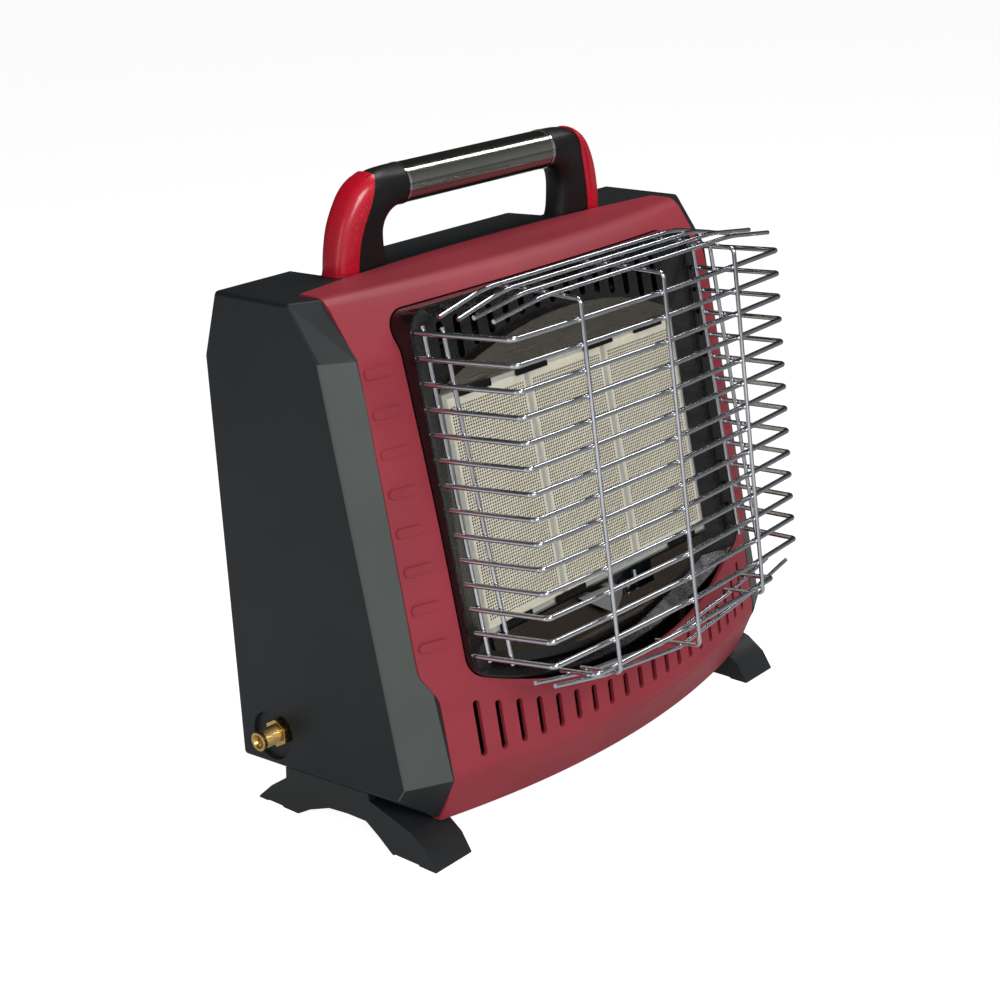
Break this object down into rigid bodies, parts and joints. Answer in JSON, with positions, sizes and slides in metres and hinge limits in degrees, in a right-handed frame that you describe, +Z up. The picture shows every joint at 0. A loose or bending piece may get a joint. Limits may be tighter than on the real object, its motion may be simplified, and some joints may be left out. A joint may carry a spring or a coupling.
{
  "type": "portable propane heater",
  "caption": "Portable gas heater: bowed moulded case on two feet, ceramic plaque burner behind a wire guard, carrying handle, side gas inlet, knob and igniter.",
  "frame": {"origin": "on the floor, below the middle of the overall box", "axes": "+X to the viewer's right when facing the front, where the controls are; +Y towards the rear panel, so the wire guard faces -Y; +Z up"},
  "size_m": [0.374, 0.2092, 0.3659],
  "materials": {
    "case_black": "fine satin grain, dark charcoal",
    "panel_steel": "semi-matt black powder coat",
    "zinc": "bright zinc plate",
    "bezel_red": "matt dark red, fine grain",
    "frame_enamel": "glossy black enamel",
    "reflector_steel": "bright rolled stainless steel",
    "sheet_steel": "plain aluminised sheet",
    "ceramic": "porous cream ceramic with fine perforation",
    "gasket_fibre": "pressed mineral fibre",
    "clip_steel": "heat-darkened steel",
    "brass": "turned brass",
    "valve_cast": "die cast, as cast",
    "pipe_metal": "drawn pipe",
    "stem_steel": "turned steel",
    "knob_black": "satin black",
    "button_red": "glossy red",
    "lead_silicone": "silicone sleeve",
    "electrode_ceramic": "glazed white ceramic",
    "switch_black": "moulded black",
    "arm_black": "satin black",
    "cap_red": "glossy red",
    "sleeve_chrome": "mirror-bright tube with a grey cast",
    "foot_black": "satin black",
    "guard_chrome": "bright plated wire"
  },
  "bodies": {
    "heater": {"housing": "case_black", "back_panel": "panel_steel", "back_screws": "zinc", "front_bezel": "bezel_red", "bezel_screws": "zinc", "window_frame": "frame_enamel", "upper_reflector": "reflector_steel", "lower_reflector": "reflector_steel", "burner_box": "sheet_steel", "box_screws": "zinc", "plaque_left": "ceramic", "plaque_middle": "ceramic", "plaque_right": "ceramic", "plaque_gasket": "gasket_fibre", "plaque_clips": "clip_steel", "heat_shield": "sheet_steel", "mixer_tube": "sheet_steel", "injector": "brass", "burner_pipe": "pipe_metal", "supply_pipe": "pipe_metal", "inlet_fitting": "brass", "inlet_nut": "brass", "valve_body": "valve_cast", "valve_bonnet": "brass", "igniter_body": "knob_black", "igniter_nut": "knob_black", "ignition_lead": "lead_silicone", "pilot_bracket": "sheet_steel", "pilot_shield": "sheet_steel", "pilot_burner": "stem_steel", "pilot_pipe": "pipe_metal", "spark_electrode": "electrode_ceramic", "thermocouple": "pipe_metal", "tilt_switch": "switch_black", "handle_arm_left": "arm_black", "handle_arm_right": "arm_black", "handle_cap_left": "cap_red", "handle_cap_right": "cap_red", "handle_sleeve": "sleeve_chrome", "handle_core": "arm_black", "handle_rings": "sleeve_chrome", "handle_screws": "zinc", "foot_left": "foot_black", "foot_right": "foot_black", "foot_screws": "zinc", "guard_crossbars": "guard_chrome", "guard_end_bars": "guard_chrome", "guard_low_bar": "guard_chrome", "guard_front_uprights": "guard_chrome", "guard_side_uprights": "guard_chrome", "guard_top_bars": "guard_chrome", "guard_bottom_bars": "guard_chrome"},
    "push_collar": {"stem_collar": "brass"},
    "knob": {"valve_stem": "stem_steel", "control_knob": "knob_black"},
    "button": {"igniter_button": "button_red"}
  },
  "joints": [
    {"name": "knob_push", "type": "slide", "parent": "heater", "child": "push_collar", "axis": [-1, 0, 0], "range_m": [0, 0.004], "stiffness_N_per_m": 400, "springref_m": -0.008},
    {"name": "knob_turn", "type": "hinge", "parent": "push_collar", "child": "knob", "pos_m": [0.17, 0.04275, 0.15], "axis": [1, 0, 0], "range_deg": [0, 210]},
    {"name": "igniter_push", "type": "slide", "parent": "heater", "child": "button", "axis": [-1, 0, 0], "range_m": [0, 0.004], "stiffness_N_per_m": 900, "springref_m": -0.004}
  ]
}
